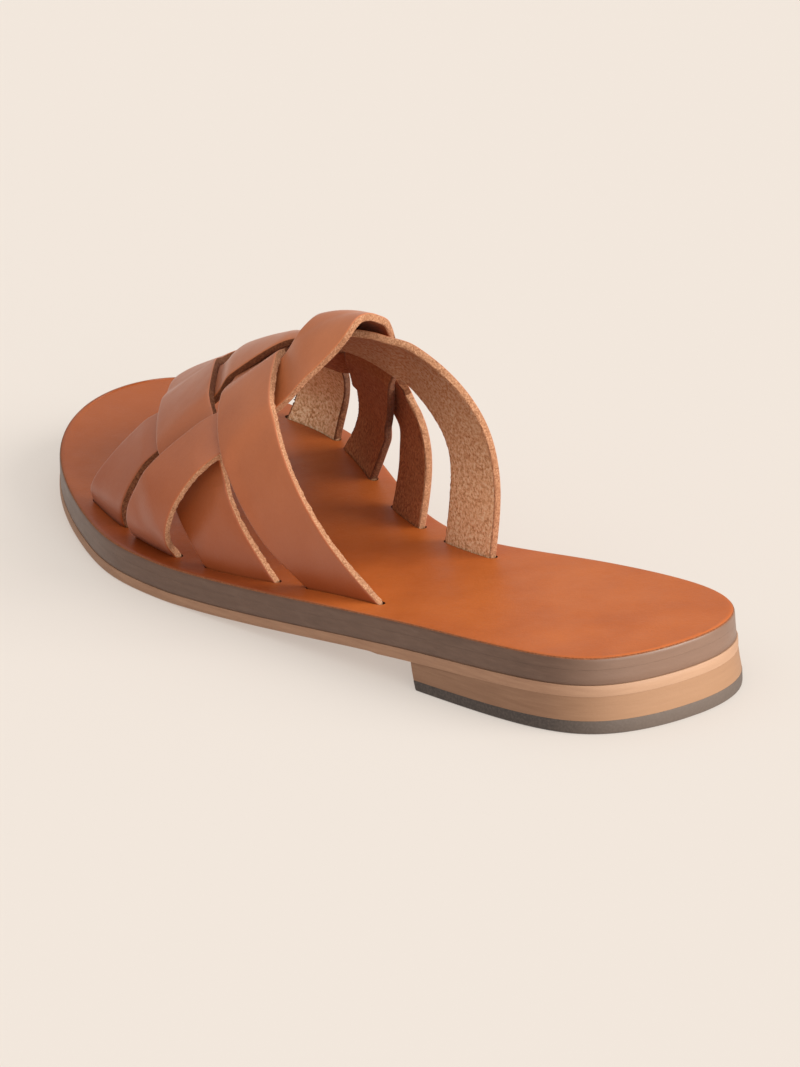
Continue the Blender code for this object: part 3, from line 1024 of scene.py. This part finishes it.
# The section, laid over the last step by step, with a straight root at both ends
def strap_rings(name, section, width, seed):
    draw = np.random.default_rng(seed)
    across = np.array(column(section, 0))
    off = np.array(column(section, 1))
    is_edge = np.array(column(section, 2)) == CUT
    count = len(section)
    phases = draw.uniform(0.0, 2 * math.pi, 4)
    fuzz = draw.normal(0.0, 1.0, (STRAP_STEPS + 3, count)) * is_edge
    rings = []
    for i, share in enumerate(np.linspace(0.0, 1.0, STRAP_STEPS + 1)):
        shares = np.full(count, share)
        half = strap_half_width(name, shares)
        rough = EDGE_FUZZ * fuzz[i] / (width / 2)
        y = strap_course(name)(shares) + (across + rough * np.sign(across)) * half
        normal = last_normal(shares, y)
        if i in (0, STRAP_STEPS):
            normal = flat_normal(normal)
        lift = strap_offset(name, shares, y) + strap_wave(share, across, phases) + off
        rings.append(last_point(shares, y) + normal * lift[:, None])
    down = np.array((0.0, 0.0, STRAP_ROOT_DEPTH))
    return [rings[0] - down] + rings + [rings[-1] - down]


def strap_faces(name, section, ring_count):
    count = len(section)
    zones_round = section_zones(section)
    dark_cut_start, dark_cut_end = DARK_CUT_SPANS[name]
    faces, zones = [], []
    for i in range(ring_count - 1):
        share = min(max(i - 1, 0), STRAP_STEPS) / STRAP_STEPS
        # Cut edges in this span get the darker edge, painted shade on the second and fourth straps
        in_dark_cut = dark_cut_start <= share < dark_cut_end
        for j, zone in enumerate(zones_round):
            k = (j + 1) % count
            faces.append((i * count + j, (i + 1) * count + j, (i + 1) * count + k, i * count + k))
            zones.append(DARK_CUT if in_dark_cut and zone == CUT else zone)
    tail = (ring_count - 1) * count
    faces.append(tuple(range(count)))
    faces.append(tuple(range(tail + count - 1, tail - 1, -1)))
    return faces, zones + [CUT, CUT]


def build_strap(name, materials, seed):
    width = float(strap_width(name, 0.5))
    section = strap_section(width)
    rings = strap_rings(name, section, width, seed)
    faces, zones = strap_faces(name, section, len(rings))
    vertices = np.concatenate(rings)
    piece = make_piece("strap_" + name, vertices, faces, materials, zones, ("upper",))
    crease_sharp(piece, STRAP_CREASE)
    return piece


# Studio
def build_floor():
    paint = Paint("pale_floor")
    tone = linear(FLOOR_COLOUR)
    lit = [c * (1 - FLOOR_GLOW) / FLOOR_LIGHT for c in tone]
    paint.set(Base_Color=(*lit, 1.0), Roughness=0.95, Specular_IOR_Level=0.0)
    paint.set(Emission_Color=(*tone, 1.0), Emission_Strength=FLOOR_GLOW)
    reach = FLOOR_REACH_M
    corners = [(-reach, -reach, 0.0), (reach, -reach, 0.0), (reach, reach, 0.0), (-reach, reach, 0.0)]
    mesh = bpy.data.meshes.new("floor")
    mesh.from_pydata(corners, [], [(0, 1, 2, 3)])
    mesh.materials.append(paint.material)
    floor = bpy.data.objects.new("floor", mesh)
    bpy.context.scene.collection.objects.link(floor)


def build_sky():
    world = bpy.data.worlds.new("studio")
    world.use_nodes = True
    tree = world.node_tree
    place = tree.nodes.new("ShaderNodeTexCoord")
    split = tree.nodes.new("ShaderNodeSeparateXYZ")
    rise = tree.nodes.new("ShaderNodeMapRange")
    rise.inputs["To Min"].default_value = SKY_LOW
    rise.inputs["To Max"].default_value = SKY_HIGH
    sky = tree.nodes["Background"]
    sky.inputs["Color"].default_value = SKY_COLOUR
    tree.links.new(place.outputs["Generated"], split.inputs["Vector"])
    tree.links.new(split.outputs["Z"], rise.inputs["Value"])
    tree.links.new(rise.outputs["Result"], sky.inputs["Strength"])
    bpy.context.scene.world = world


def add_sun(name, towards, strength, spread):
    lamp = bpy.data.lights.new(name, "SUN")
    lamp.energy = strength
    lamp.angle = math.radians(spread)
    lamp.color = SUN_COLOUR
    item = bpy.data.objects.new(name, lamp)
    item.rotation_mode = "QUATERNION"
    item.rotation_quaternion = Vector(towards).to_track_quat("Z", "Y")
    bpy.context.scene.collection.objects.link(item)


def build_camera():
    place = Vector((np.array(CAMERA_PLACE) - MIDDLE) * MM)
    aim = Vector((np.array(CAMERA_AIM) - MIDDLE) * MM)
    back = (place - aim).normalized()
    right = Vector((0.0, 0.0, 1.0)).cross(back).normalized()
    up = back.cross(right)
    roll = math.radians(CAMERA_ROLL)
    right, up = right * math.cos(roll) + up * math.sin(roll), up * math.cos(roll) - right * math.sin(roll)
    lens = bpy.data.cameras.new("camera")
    lens.sensor_width = CAMERA_SENSOR
    lens.lens = CAMERA_LENS
    lens.clip_end = CAMERA_REACH
    camera = bpy.data.objects.new("camera", lens)
    camera.matrix_world = Matrix.Translation(place) @ Matrix((right, up, back)).transposed().to_4x4()
    bpy.context.scene.collection.objects.link(camera)
    bpy.context.scene.camera = camera


# Dark, middle and light tone of each material, and a paler one, painted light, for the back of the heel
# where it has one
def build_sole():
    tan = sole_leather("outsole_tan", (148, 109, 84), (161, 121, 94), (174, 134, 106), (198, 158, 126), 0.9)
    under = sole_leather(
        "outsole_under", (150, 112, 84), (172, 132, 100), (188, 148, 116), (172, 132, 100), 6.0
    )
    dye = dyed_edge("dyed_edge", (88, 63, 49), (99, 72, 57), (112, 85, 69), (150, 118, 98))
    grain = grain_leather(
        "footbed_grain", (172, 84, 27), (182, 92, 33), (191, 100, 40),
        gloss=0.44, shine=0.35, toe_shade=0.6, root_shade=0.0, painted_sheen=0.0,
    )
    top_line = cut_edge("edge_top_line", (112, 64, 38), (134, 80, 50), (156, 102, 70))
    # The slot walls are near-black: painted shade for the inside of the narrow slots
    raw = cut_edge("slot_raw_edge", (44, 22, 12), (66, 34, 20), (96, 56, 36))
    build_outsole(tan, under)
    build_midsole(dye)
    build_insole(grain, top_line, dye, raw)


def build_heel():
    stacked = sole_leather(
        "heel_stacked", (130, 94, 70), (140, 103, 78), (151, 114, 88), (180, 137, 100), 0.9
    )
    rubber = dark_rubber("heel_rubber", (62, 54, 50), (72, 63, 58), (85, 75, 69), (120, 104, 92))
    build_heel_stack(stacked)
    build_heel_top_piece(rubber)


def build_upper():
    grain = grain_leather(
        "strap_grain", (179, 101, 58), (190, 110, 65), (200, 119, 73),
        gloss=0.42, shine=0.6, toe_shade=0.0, root_shade=0.75, painted_sheen=0.22,
    )
    edge = cut_edge("strap_cut_edge", (132, 86, 58), (170, 119, 86), (204, 155, 120))
    # A darker copy of the cut edge, painted shade on the second and fourth straps
    dark_cut_edge = cut_edge("strap_dark_cut_edge", (86, 46, 26), (112, 66, 42), (140, 92, 62))
    # Lit and shaded copies of the suede: painted light and painted shade on the flesh side
    lit_flesh = suede("strap_suede", (182, 126, 84), (236, 188, 144), (252, 224, 188))
    shaded_flesh = suede("strap_suede_shaded", (136, 76, 44), (174, 108, 68), (200, 136, 94))
    for seed, name in enumerate(COURSES):
        flesh = shaded_flesh if name in SHADED_STRAPS else lit_flesh
        build_strap(name, (grain, edge, flesh, dark_cut_edge), seed)


def main():
    build_sole()
    build_heel()
    build_upper()
    build_floor()
    build_sky()
    for sun in SUNS:
        add_sun(*sun)
    build_camera()
    bpy.context.scene.view_settings.view_transform = "Standard"


main()
